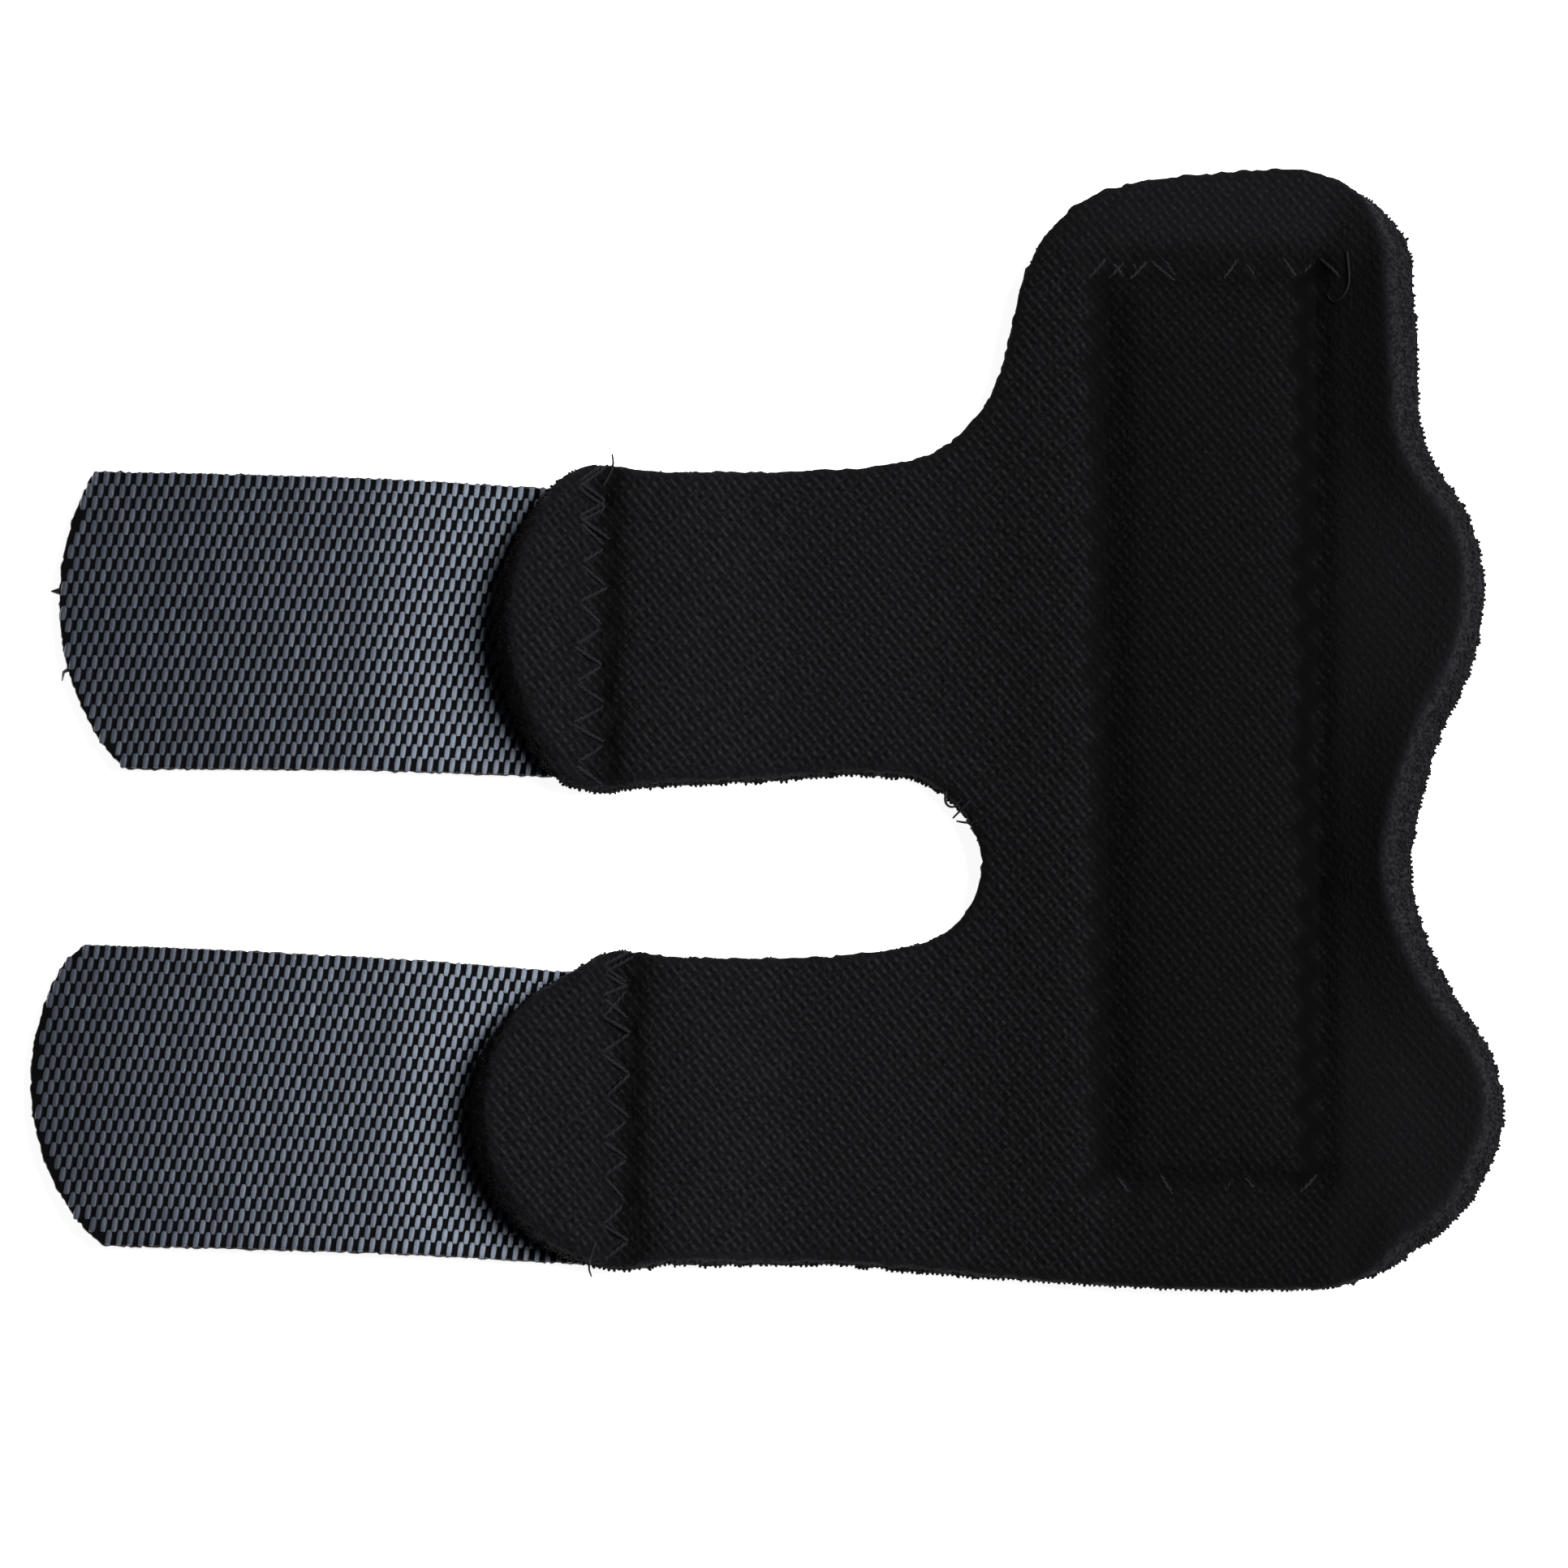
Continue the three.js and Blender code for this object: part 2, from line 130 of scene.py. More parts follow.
# Smooths a copy of a faceted sheet, and keeps on its points how far each is on the cut edge, on the back,
# and through the layers from the face to the back. How far each is from the cut edge is handed on too.
def soften_sheet(piece):
    mesh = piece.data
    zones, rims = zones_of(mesh)
    corners = [vertex.co.copy() for vertex in mesh.vertices]
    surfaces = {}
    for zone in ("face", "edge", "back"):
        sides = [tuple(side.vertices) for side in mesh.polygons if zones[side.index] == zone]
        surfaces[zone] = BVHTree.FromPolygons(corners, sides)
    crease = np.zeros(len(mesh.edges), np.float32)
    crease[rims] = RIM_CREASE
    mesh.attributes.new("crease_edge", "FLOAT", "EDGE").data.foreach_set("value", crease)
    apply_modifier(piece, "SUBSURF", levels=SUBDIVISIONS, render_levels=SUBDIVISIONS)
    apply_modifier(piece, "REMESH", mode="VOXEL", voxel_size=CLOTH_GRAIN)
    apply_modifier(piece, "SMOOTH", **SOFTENING)
    choose(piece)
    bpy.ops.object.shade_smooth()
    points = points_of(piece.data)
    far = {
        zone: np.array([surface.find_nearest(Vector(point))[3] for point in points])
        for zone, surface in surfaces.items()
    }
    on_edge = np.clip(0.5 + (np.minimum(far["face"], far["back"]) - far["edge"]) / RIM_BLEND, 0, 1)
    on_back = np.clip(0.5 + (far["face"] - far["back"]) / RIM_BLEND, 0, 1) * (1 - on_edge)
    keep_on_points(piece.data, "cut_edge", on_edge)
    keep_on_points(piece.data, "brushed_back", on_back)
    layer = far["face"] / (far["face"] + far["back"])
    keep_on_points(piece.data, "layer", layer)
    return points, on_edge, on_back, layer, far["edge"]


def pile_lumps(points):
    return np.array([noise.noise(Vector(point / PILE_SIZE)) for point in points])


random = np.random.default_rng(7)
STITCH_DRIFT = 0.18 * MM


# Holes of a zigzag seam, by turns on either side of a line and a little uneven
def zigzag(start, end, width, stitch, first_side=1):
    start = np.array(start) * MM
    end = np.array(end) * MM
    length = np.linalg.norm(end - start)
    count = round(length / stitch)
    along = np.linspace(0, 1, count + 1)[:, None]
    beside = np.array([start[1] - end[1], end[0] - start[0]]) / length
    swing = first_side * width * (0.5 - np.arange(count + 1) % 2)[:, None]
    drift = random.normal(0, STITCH_DRIFT, (count + 1, 2))
    return start + along * (end - start) + swing * beside + drift


# The seams' lines are in mm on the table. The head's seam overruns its corners and is sewn back in part.
ARM_STITCH = {"width": 2.0 * MM, "stitch": 1.37 * MM}
STAY_STITCH = {"width": 1.9 * MM, "stitch": 1.35 * MM}
STAY_LEFT, STAY_RIGHT, STAY_BOTTOM, STAY_TOP = 23.1, 37.1, -31.5, 31.5
STAY_OVERRUN = 1.5
STAY_TACK = 29.0
UPPER_SEAM, LOWER_SEAM = -11.9, -10.3
HEAD_LEFT = (STAY_LEFT - STAY_OVERRUN, STAY_TOP)
HEAD_RIGHT = (STAY_RIGHT + STAY_OVERRUN, STAY_TOP)

seams = {
    "upper_arm": zigzag((UPPER_SEAM, 18.0), (UPPER_SEAM, -3.9), **ARM_STITCH),
    "upper_arm_back_tack": zigzag((UPPER_SEAM, 13.0), (UPPER_SEAM, 18.2), **ARM_STITCH, first_side=-1),
    "lower_arm": zigzag((LOWER_SEAM, -15.5), (LOWER_SEAM, -36.6), **ARM_STITCH),
    "lower_arm_back_tack": zigzag((LOWER_SEAM, -20.0), (LOWER_SEAM, -15.2), **ARM_STITCH, first_side=-1),
    "stay_left": zigzag((STAY_LEFT, STAY_TOP), (STAY_LEFT, STAY_BOTTOM), **STAY_STITCH),
    "stay_bottom": zigzag((STAY_LEFT, STAY_BOTTOM), (STAY_RIGHT, STAY_BOTTOM), **STAY_STITCH),
    "stay_right": zigzag((STAY_RIGHT, STAY_BOTTOM), (STAY_RIGHT, STAY_TOP), **STAY_STITCH),
    "stay_top": zigzag(HEAD_RIGHT, HEAD_LEFT, **STAY_STITCH),
    "stay_back_tack": zigzag(HEAD_LEFT, (STAY_TACK, STAY_TOP), **STAY_STITCH, first_side=-1),
}

# How deep a seam presses the cloth under its thread, at its holes and in an even bed, and how far it shuts
# the knit and darkens it with painted shade in the seam's furrow
ARM_PRESS = {"stitch": 0.1 * MM, "hole": 0.2 * MM, "bed": 0.15 * MM, "shut_and_shade": 0.17}
STAY_PRESS = {"stitch": 0.03 * MM, "hole": 0.06 * MM, "bed": 0.04 * MM}
END_PRESS = STAY_PRESS | {"shut_and_shade": 0.24}
side_presses = {"stay_left": STAY_PRESS | {"shut_and_shade": 0.6}, "stay_right": STAY_PRESS | {"shut_and_shade": 0.85}}
STITCH_SPREAD = 0.33 * MM
HOLE_SPREAD = 0.5 * MM
BED_HALF = 1.1 * MM
BED_SIDE = 0.45 * MM

# The knit shuts, darkened with painted shade, in a band that follows the stitches' swing in part, and that
# lies a little left of them
SHUT_SWING = 0.48
SHUT_HALF = 0.6 * MM
SHUT_BLEND = 0.6 * MM
SHUT_ASIDE = np.array([0.7, 0.0]) * MM

# The end of a strap lies under each arm as far as a soft valley beside the seam, darkened with painted
# shade
VALLEY_DEPTH = 0.28 * MM
VALLEY_SPREAD = 0.7 * MM
VALLEY_SHUT_AND_SHADE = 0.41
VALLEY_BESIDE = 1.2
VALLEY_WAVE = {"width": 0.5 * MM, "stitch": 1.37 * MM}
valleys = [
    zigzag((UPPER_SEAM + VALLEY_BESIDE, 20.0), (UPPER_SEAM + VALLEY_BESIDE, -6.0), **VALLEY_WAVE),
    zigzag((LOWER_SEAM + VALLEY_BESIDE, -14.0), (LOWER_SEAM + VALLEY_BESIDE, -38.0), **VALLEY_WAVE),
]


def distance_to_line(points, line):
    nearest = np.full(len(points), np.inf)
    for start, end in zip(line[:-1], line[1:]):
        along = end - start
        share = np.clip((points - start) @ along / (along @ along), 0, 1)[:, None]
        nearest = np.minimum(nearest, np.linalg.norm(points - start - share * along, axis=1))
    return nearest


body = copy_of_node("body_sheet", "cushioned_body")
body_points, body_edge, body_back, body_layer, body_inset = soften_sheet(body)
body_normals = points_of(body.data, "normal")
body_face = 1 - body_edge - body_back
press = np.zeros(len(body_points))
shut_and_shade = np.zeros(len(body_points))
for name, line in seams.items():
    depth = side_presses.get(name, ARM_PRESS if "arm" in name else END_PRESS)
    near = distance_to_line(body_points[:, :2], line)
    hole = np.min([np.linalg.norm(body_points[:, :2] - one, axis=1) for one in line], axis=0)
    beside = distance_to_line(body_points[:, :2], (line[:-1] + line[1:]) / 2)
    pulled = depth["stitch"] * np.exp(-((near / STITCH_SPREAD) ** 2))
    pulled += depth["hole"] * np.exp(-((hole / HOLE_SPREAD) ** 2))
    bed = 1 / (1 + np.exp((beside - BED_HALF) / BED_SIDE))
    press = np.maximum(press, pulled + depth["bed"] * bed)
    middle = line.copy()
    middle[1:-1] = line[1:-1] / 2 + (line[:-2] + line[2:]) / 4
    drawn = distance_to_line(body_points[:, :2] + SHUT_ASIDE, middle + SHUT_SWING * (line - middle))
    closed = np.clip(0.5 - (drawn - SHUT_HALF) / SHUT_BLEND, 0, 1)
    shut_and_shade = np.maximum(shut_and_shade, depth["shut_and_shade"] * closed)
for line in valleys:
    beside = distance_to_line(body_points[:, :2], line)
    valley = np.exp(-((beside / VALLEY_SPREAD) ** 2))
    press = np.maximum(press, VALLEY_DEPTH * valley)
    shut_and_shade = np.maximum(shut_and_shade, VALLEY_SHUT_AND_SHADE * valley)
pinched = np.clip(1 - body_inset / RIM_PINCHED, 0, 1)
lumps = pile_lumps(body_points) * (PILE_HEIGHT * body_back + FOAM_HEIGHT * body_edge)
body_points = body_points + body_normals * (lumps - press * body_face)[:, None]
body_points[:, 2] = np.maximum(body_points[:, 2], 0)
move_points(body.data, body_points)

# How far the knit stands out and how bright it is, across the body at x in mm. The stay draws the panel
# tight, and the curled flange is smooth. Its brightness is painted light and shade: the panel painted dark,
# and the flange, turned from the light, painted pale. The head has its own values, from where it starts to
# where they hold in full, at y in mm.
knit_zones = {
    "x": [14.0, 21.5, 24.5, 37.4, 38.2, 41.0, 43.5],
    "relief": [1.0, 1.0, 0.85, 0.95, 0.28, 0.28, 0.28],
    "painted_light_and_shade": [0.94, 0.84, 0.48, 0.49, 0.76, 0.88, 1.2],
}
head_zone = {"start": 31.0, "full": 34.0, "relief": 0.55, "painted_light_and_shade": 1.0}
# Where a seam shuts the knit it loses its relief, and it is darkened with painted shade
left_in_seam = {"relief": 0.0, "painted_light_and_shade": 0.1}  # what a shut seam leaves of the knit
left_on_rim = {"relief": 0.0, "painted_light_and_shade": 1.0}
x, y, _ = body_points.T / MM
in_head = np.clip((y - head_zone["start"]) / (head_zone["full"] - head_zone["start"]), 0, 1)
for zone in ("relief", "painted_light_and_shade"):
    across = np.interp(x, knit_zones["x"], knit_zones[zone])
    value = across + (head_zone[zone] - across) * in_head
    value *= 1 - (1 - left_in_seam[zone]) * shut_and_shade
    keep_on_points(body.data, zone, value * (1 - (1 - left_on_rim[zone]) * pinched))

KNIT_DARK = (0.0008, 0.0008, 0.001, 1)
KNIT_LIGHT = (0.014, 0.014, 0.0155, 1)
ROW_WAVE = np.array([1.389, 1.105, 0]) / MM  # slanting rows, in waves along x and y
BEAD_WAVE = np.array([0.804, -0.955, 0]) / MM  # beads along a row
BEAD_SWING, BEAD_MEAN = 0.6, 0.95  # strong and weak beads by turns
FINE_SHARE = 0.25
KNIT_DRIFT = 0.3 * MM
DRIFT_SIZE = 2.0 * MM
SPECK_SHARE = 5.0
SPECK_SIZE = 0.3 * MM
# The face's brightness swings with the knit: painted highlights on its beads, painted shade in its hollows
KNIT_SWING, KNIT_MEAN = 0.22, 0.3  # how far the face's brightness swings, and its mean
KNIT_PEAK = 0.1  # added to that swing on the beads, and taken from it in the hollows
FIBRE_SIZE = 0.28 * MM
FIBRE_RELIEF = 0.11 * MM
BEAD_RELIEF = 0.06  # as a share of the fibres' relief
FOAM_CELLS = (0.4, 0.7)  # the part of the grain over which dark turns to grey
PILE_LOOPS = (0.35, 0.7)
FOAM_GREY = (0.0165, 0.0165, 0.0195, 1)
FOAM_DARK = (0.004, 0.004, 0.0046, 1)
FOAM_LAYER = (0.75, 1.0)  # where the pale foam gives way to the back's black cloth
BRUSHED_BLACK = (0.0025, 0.0025, 0.003, 1)
BRUSHED_GREY = (0.013, 0.013, 0.0145, 1)


def new_material(name):
    material = bpy.data.materials.new(name)
    material.use_nodes = True
    nodes = material.node_tree.nodes
    return material, nodes, material.node_tree.links, nodes["Principled BSDF"]


def grain(nodes, links, size, detail=3.0):
    place = nodes.new("ShaderNodeTexCoord")
    texture = nodes.new("ShaderNodeTexNoise")
    texture.inputs["Scale"].default_value = 1 / size
    texture.inputs["Detail"].default_value = detail
    links.new(place.outputs["Object"], texture.inputs["Vector"])
    return texture.outputs["Fac"]


def colour_mix(nodes, links, share, first, second):
    mix = nodes.new("ShaderNodeMix")
    mix.data_type = "RGBA"
    links.new(share, mix.inputs["Factor"])
    for socket, colour in ((mix.inputs["A"], first), (mix.inputs["B"], second)):
        if isinstance(colour, tuple):
            socket.default_value = colour
        else:
            links.new(colour, socket)
    return mix.outputs["Result"]


def attribute(nodes, name):
    node = nodes.new("ShaderNodeAttribute")
    node.attribute_name = name
    return node.outputs["Fac"]


def bump(nodes, links, shader, height, depth):
    node = nodes.new("ShaderNodeBump")
    node.inputs["Strength"].default_value = 1
    node.inputs["Distance"].default_value = depth
    links.new(height, node.inputs["Height"])
    links.new(node.outputs["Normal"], shader.inputs["Normal"])


def ramp(nodes, links, value, start, end):
    node = nodes.new("ShaderNodeMapRange")
    node.inputs["From Min"].default_value = start
    node.inputs["From Max"].default_value = end
    links.new(value, node.inputs["Value"])
    return node.outputs["Result"]


def arithmetic(nodes, links, operation, *values):
    node = nodes.new("ShaderNodeMath")
    node.operation = operation
    for socket, value in zip(node.inputs, values):
        if isinstance(value, float):
            socket.default_value = value
        else:
            links.new(value, socket)
    return node.outputs["Value"]


def wave(nodes, links, place, waves):
    node = nodes.new("ShaderNodeVectorMath")
    node.operation = "DOT_PRODUCT"
    links.new(place, node.inputs[0])
    node.inputs[1].default_value = 2 * math.pi * waves
    return arithmetic(nodes, links, "COSINE", node.outputs["Value"])


# Rows of beads that rise and fall about nought, a little adrift and specked. It gives the face its bump,
# and in colour painted highlights on the beads, painted shade in the hollows and painted glints in the
# specks
def knit_pattern(nodes, links):
    place = nodes.new("ShaderNodeTexCoord")
    drift = nodes.new("ShaderNodeTexNoise")
    drift.inputs["Scale"].default_value = 1 / DRIFT_SIZE
    links.new(place.outputs["Object"], drift.inputs["Vector"])
    adrift = nodes.new("ShaderNodeVectorMath")
    adrift.operation = "MULTIPLY_ADD"
    links.new(drift.outputs["Color"], adrift.inputs[0])
    adrift.inputs[1].default_value = (KNIT_DRIFT, KNIT_DRIFT, 0)
    links.new(place.outputs["Object"], adrift.inputs[2])
    rows, beads, fine_rows, fine_beads = (
        wave(nodes, links, adrift.outputs["Vector"], waves)
        for waves in (ROW_WAVE, BEAD_WAVE, 2 * ROW_WAVE, 2 * BEAD_WAVE)
    )
    strength = arithmetic(nodes, links, "MULTIPLY_ADD", beads, BEAD_SWING, BEAD_MEAN)
    ridges = arithmetic(nodes, links, "MULTIPLY", rows, strength)
    fine = arithmetic(nodes, links, "ADD", fine_rows, fine_beads)
    knit = arithmetic(nodes, links, "MULTIPLY_ADD", fine, FINE_SHARE, ridges)
    specks = arithmetic(nodes, links, "SUBTRACT", grain(nodes, links, SPECK_SIZE, 2.0), 0.5)
    return arithmetic(nodes, links, "MULTIPLY_ADD", specks, SPECK_SHARE, knit)


def paint_cloth(piece, name):
    material, nodes, links, shader = new_material(name)
    # The face's colour follows the knit, with painted highlights and shade, scaled by each zone's painted
    # light and shade
    raised = arithmetic(nodes, links, "MULTIPLY", knit_pattern(nodes, links), attribute(nodes, "relief"))
    swing = arithmetic(nodes, links, "MULTIPLY_ADD", raised, KNIT_SWING, KNIT_MEAN)
    peaks = arithmetic(nodes, links, "ABSOLUTE", raised)
    level = arithmetic(nodes, links, "MULTIPLY_ADD", peaks, KNIT_PEAK, swing)
    glint = arithmetic(nodes, links, "MULTIPLY", level, attribute(nodes, "painted_light_and_shade"))
    face = colour_mix(nodes, links, glint, KNIT_DARK, KNIT_LIGHT)
    fibres = grain(nodes, links, FIBRE_SIZE, 4.0)
    cells = colour_mix(nodes, links, ramp(nodes, links, fibres, *FOAM_CELLS), FOAM_DARK, FOAM_GREY)
    layer = ramp(nodes, links, attribute(nodes, "layer"), *FOAM_LAYER)
    foam = colour_mix(nodes, links, layer, cells, FOAM_DARK)
    sides = colour_mix(nodes, links, attribute(nodes, "cut_edge"), face, foam)
    loops = ramp(nodes, links, grain(nodes, links, PILE_SIZE), *PILE_LOOPS)
    pile = colour_mix(nodes, links, loops, BRUSHED_BLACK, BRUSHED_GREY)
    whole = colour_mix(nodes, links, attribute(nodes, "brushed_back"), sides, pile)
    links.new(whole, shader.inputs["Base Color"])
    height = arithmetic(nodes, links, "MULTIPLY_ADD", raised, BEAD_RELIEF, fibres)
    bump(nodes, links, shader, height, FIBRE_RELIEF)
    shader.inputs["Roughness"].default_value = 0.9
    shader.inputs["Specular IOR Level"].default_value = 0.03
    piece.data.materials.append(material)


paint_cloth(body, "cushioned_cloth")
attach(body, "root")
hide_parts("body_sheet")

# Stay pocket
# A strip of the same kind of cloth, sewn to the panel's underside along a rectangle to hold the stay.
# Its cut edges lie open outside the seam, and the stay rounds it out below.

POCKET_PRESS = 0.1 * MM

pocket = copy_of_node("stay_pocket", "stay_pocket_strip")
pocket_points, pocket_edge, pocket_back, _, _ = soften_sheet(pocket)
pocket_normals = points_of(pocket.data, "normal")
pocket_press = np.zeros(len(pocket_points))
for name in ("stay_left", "stay_bottom", "stay_right", "stay_top"):
    near = distance_to_line(pocket_points[:, :2], seams[name])
    pocket_press = np.maximum(pocket_press, POCKET_PRESS * np.exp(-((near / STITCH_SPREAD) ** 2)))
lumps = PILE_HEIGHT * pile_lumps(pocket_points) * (pocket_back + pocket_edge)
pocket_points = pocket_points + pocket_normals * (lumps - pocket_press * pocket_back)[:, None]
pocket_points[:, 2] = np.maximum(pocket_points[:, 2], 0)
move_points(pocket.data, pocket_points)
paint_cloth(pocket, "pocket_cloth")
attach(pocket, "root")
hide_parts("stay_pocket")

# Straps
# Woven hook tape: glossy floats that cross a tight dark ground by turns, with nylon hooks under it. The
# ground's near black is partly painted shade between the floats, and the floats' blue-grey partly painted
# sheen.
# The tip is cut with heat to a bowed end, and the other end is sewn on under the arm's flap.

STRAP_WIDTH = 20.0 * MM
STRAP_WIDENING = 0.8 * MM
STRAP_HEIGHT = 1.8 * MM  # from the hooks' ends to the tops of the floats
GROUND = 0.55 * MM
CELL_LENGTH = 0.37 * MM  # from one float to the next
CELLS_ACROSS = 24
FLOAT_HEIGHT = 0.12 * MM
GROUND_TOP = STRAP_HEIGHT - FLOAT_HEIGHT
FLOAT_HALF_LENGTH = 0.55 * MM
FLOAT_HALF_BREADTH = 0.24 * MM
FLOAT_ROOT = 0.3  # how far a float goes on into the ground, as a share of its height before it is blunted
FLOAT_MARGIN = 0.15 * MM
FLOAT_LEAN = 0.06 * MM
BLUNTNESS = 0.42  # 1 would be an egg, and less is more like a block
FLOAT_UNEVEN = 0.018  # how far floats differ in tilt and in size
FLAT_TOP_ANGLE = math.radians(32)  # a float's pressed top ends at edges sharper than this
TAPE_EDGE_ANGLE = math.radians(50)
TIP_FACETS = 12
CORNER_FACETS = 2
CUT_WITHIN = 0.001 * MM
CORNER_BOW = 0.05  # how far the cut of a corner swells, as a share of the corner

# Sizes and places are in mm, turns are in degrees, and tilts and slopes are rise over run
straps = {
    "upper": {
        "sewn_end": (-9.5, 6.9),
        "turn": 1.5,
        "float_tilt": 0.095,
        "length": 38.5,
        "tip_bow": 2.5,
        "back": {"setback": 1.8, "corner": 0.4},
        "front": {"setback": 3.2, "corner": 1.7},
        "arch": [(3.6, 0.0, 0.0), (18.0, 1.2, 0.0), (38.5, 0.0, -0.1)],
    },
    "lower": {
        "sewn_end": (-7.9, -26.6),
        "turn": 2.6,
        "float_tilt": 0.13,
        "length": 41.8,
        "tip_bow": 2.4,
        "back": {"setback": 1.6, "corner": 1.5},
        "front": {"setback": 3.2, "corner": 2.2},
        "arch": [(3.6, 0.0, 0.0), (18.0, 1.5, 0.0), (31.0, 1.2, -0.06), (41.8, 0.0, -0.18)],
    },
}


# Height of a strap's underside along it, smooth through rows of distance, height and slope
def arch_height(strap, x):
    rows = np.array(strap["arch"])
    x = np.clip(np.asarray(x) / MM, rows[0, 0], rows[-1, 0])
    to = np.clip(np.searchsorted(rows[:, 0], x, side="right"), 1, len(rows) - 1)
    start, start_height, start_slope = rows[to - 1].T
    end, end_height, end_slope = rows[to].T
    run = end - start
    share = (x - start) / run
    risen = share**2 * (3 - 2 * share)
    leaving = share * (1 - share) ** 2 * run * start_slope
    arriving = share**2 * (1 - share) * run * end_slope
    return MM * (start_height + (end_height - start_height) * risen + leaving - arriving)


def half_width(strap, x):
    share = np.asarray(x) / (strap["length"] * MM)
    return (STRAP_WIDTH + STRAP_WIDENING * (share - 0.5)) / 2


def arc_points(start, end, bow, count):
    start = np.array(start)
    end = np.array(end)
    half = np.linalg.norm(end - start) / 2
    radius = (half**2 + bow**2) / (2 * bow)
    outward = np.array([end[1] - start[1], start[0] - end[0]]) / (2 * half)
    centre = (start + end) / 2 + (bow - radius) * outward
    swing = math.asin(half / radius) * np.linspace(-1, 1, count + 1)[:, None]
    return centre + radius * (np.cos(swing) * outward + np.sin(swing) * (end - start) / (2 * half))


# The tip's outline in the strap's own plane: a cut corner, the bowed end and the other corner
def tip_outline(strap):
    length = strap["length"] * MM
    half = float(half_width(strap, length))
    back, front = ({part: size * MM for part, size in strap[side].items()} for side in ("back", "front"))
    corners = [
        (length - back["setback"] - back["corner"], -half),
        (length - back["setback"], back["corner"] - half),
        (length - front["setback"], half - front["corner"]),
        (length - front["setback"] - front["corner"], half),
    ]
    bows = [CORNER_BOW * back["corner"], strap["tip_bow"] * MM, CORNER_BOW * front["corner"]]
    counts = [CORNER_FACETS, TIP_FACETS, CORNER_FACETS]
    runs = []
    for start, end, bow, count in zip(corners, corners[1:], bows, counts):
        runs.append(arc_points(start, end, bow, count))
    return np.concatenate([runs[0], runs[1][1:], runs[2][1:]])


def on_table(strap, points):
    turn = math.radians(strap["turn"])
    x, y, z = points.T
    start_x, start_y = strap["sewn_end"]
    return np.stack(
        [
            start_x * MM - math.cos(turn) * x - math.sin(turn) * y,
            start_y * MM + math.sin(turn) * x - math.cos(turn) * y,
            z,
        ],
        axis=1,
    )


def tape_ground(name, strap):
    length = strap["length"] * MM
    bpy.ops.object.select_all(action="DESELECT")
    cells_along = round(length / CELL_LENGTH)
    bpy.ops.mesh.primitive_grid_add(x_subdivisions=cells_along, y_subdivisions=2 * CELLS_ACROSS, size=1)
    tape = bpy.context.object
    tape.name = name
    points = points_of(tape.data)
    points[:, 0] = (points[:, 0] + 0.5) * length
    points[:, 1] *= 2 * half_width(strap, points[:, 0])
    move_points(tape.data, points)
    tip = tip_outline(strap)
    bpy.ops.object.mode_set(mode="EDIT")
    for start, end in zip(tip[:-1], tip[1:]):
        outward = Vector((end[1] - start[1], start[0] - end[0], 0)).normalized()
        bpy.ops.mesh.select_all(action="SELECT")
        bpy.ops.mesh.bisect(plane_co=(*start, 0), plane_no=outward, clear_outer=True, threshold=CUT_WITHIN)
    bpy.ops.object.mode_set(mode="OBJECT")
    points = points_of(tape.data)
    points[:, 2] = arch_height(strap, points[:, 0]) + GROUND_TOP
    move_points(tape.data, on_table(strap, points))
    choose(tape)
    bpy.ops.object.mode_set(mode="EDIT")
    bpy.ops.mesh.select_all(action="SELECT")
    bpy.ops.mesh.normals_make_consistent(inside=False)
    bpy.ops.object.mode_set(mode="OBJECT")
    if tape.data.polygons[0].normal.z < 0:
        tape.data.flip_normals()
    apply_modifier(tape, "SOLIDIFY", thickness=GROUND, offset=-1)
    choose(tape)
    bpy.ops.object.shade_smooth_by_angle(angle=TAPE_EDGE_ANGLE)
    return tape


# One mesh of many copies of a small shape, each with its own axes and place
def joined_copies(name, shape, axes, places):
    single = bmesh.new()
    single.from_mesh(shape.data)
    bmesh.ops.triangulate(single, faces=single.faces)
    single.verts.index_update()
    corners = np.array([vertex.co for vertex in single.verts])
    sides = np.array([[vertex.index for vertex in face.verts] for face in single.faces])
    single.free()
    bpy.data.objects.remove(shape)
    points = np.einsum("nij,mj->nmi", axes, corners) + places[:, None]
    offsets = np.arange(len(places))[:, None, None] * len(corners)
    mesh = bpy.data.meshes.new(name)
    mesh.from_pydata(points.reshape(-1, 3), [], (sides + offsets).reshape(-1, 3))
    piece = bpy.data.objects.new(name, mesh)
    bpy.context.collection.objects.link(piece)
    choose(piece)
    bpy.ops.object.shade_smooth()
    return piece


# A float where it crosses over: a long low block with blunt ends that goes on a little into the ground. It
# leans along the strap from end to end, and its top is tilted to the sewn end.
def float_mound(tilt):
    bpy.ops.object.select_all(action="DESELECT")
    bpy.ops.mesh.primitive_uv_sphere_add(segments=8, ring_count=6, radius=1)
    mound = bpy.context.object
    bpy.ops.object.mode_set(mode="EDIT")
    bpy.ops.mesh.select_all(action="SELECT")
    bpy.ops.transform.rotate(value=math.radians(90), orient_axis="X", center_override=(0, 0, 0))
    bpy.ops.mesh.bisect(plane_co=(0, 0, -FLOAT_ROOT), plane_no=(0, 0, -1), clear_outer=True, use_fill=True)
    bpy.ops.object.mode_set(mode="OBJECT")
    x, y, z = points_of(mound.data).T
    girth = np.sqrt(np.clip(1 - y**2, 1e-6, 1))
    blunt = girth**BLUNTNESS
    along = x / girth * blunt * FLOAT_HALF_BREADTH
    top = np.sign(z) * np.abs(z / girth) ** BLUNTNESS * blunt * FLOAT_HEIGHT
    shaped = [along + y * FLOAT_LEAN, y * FLOAT_HALF_LENGTH, top + along * tilt]
    move_points(mound.data, np.stack(shaped, axis=1))
    return mound


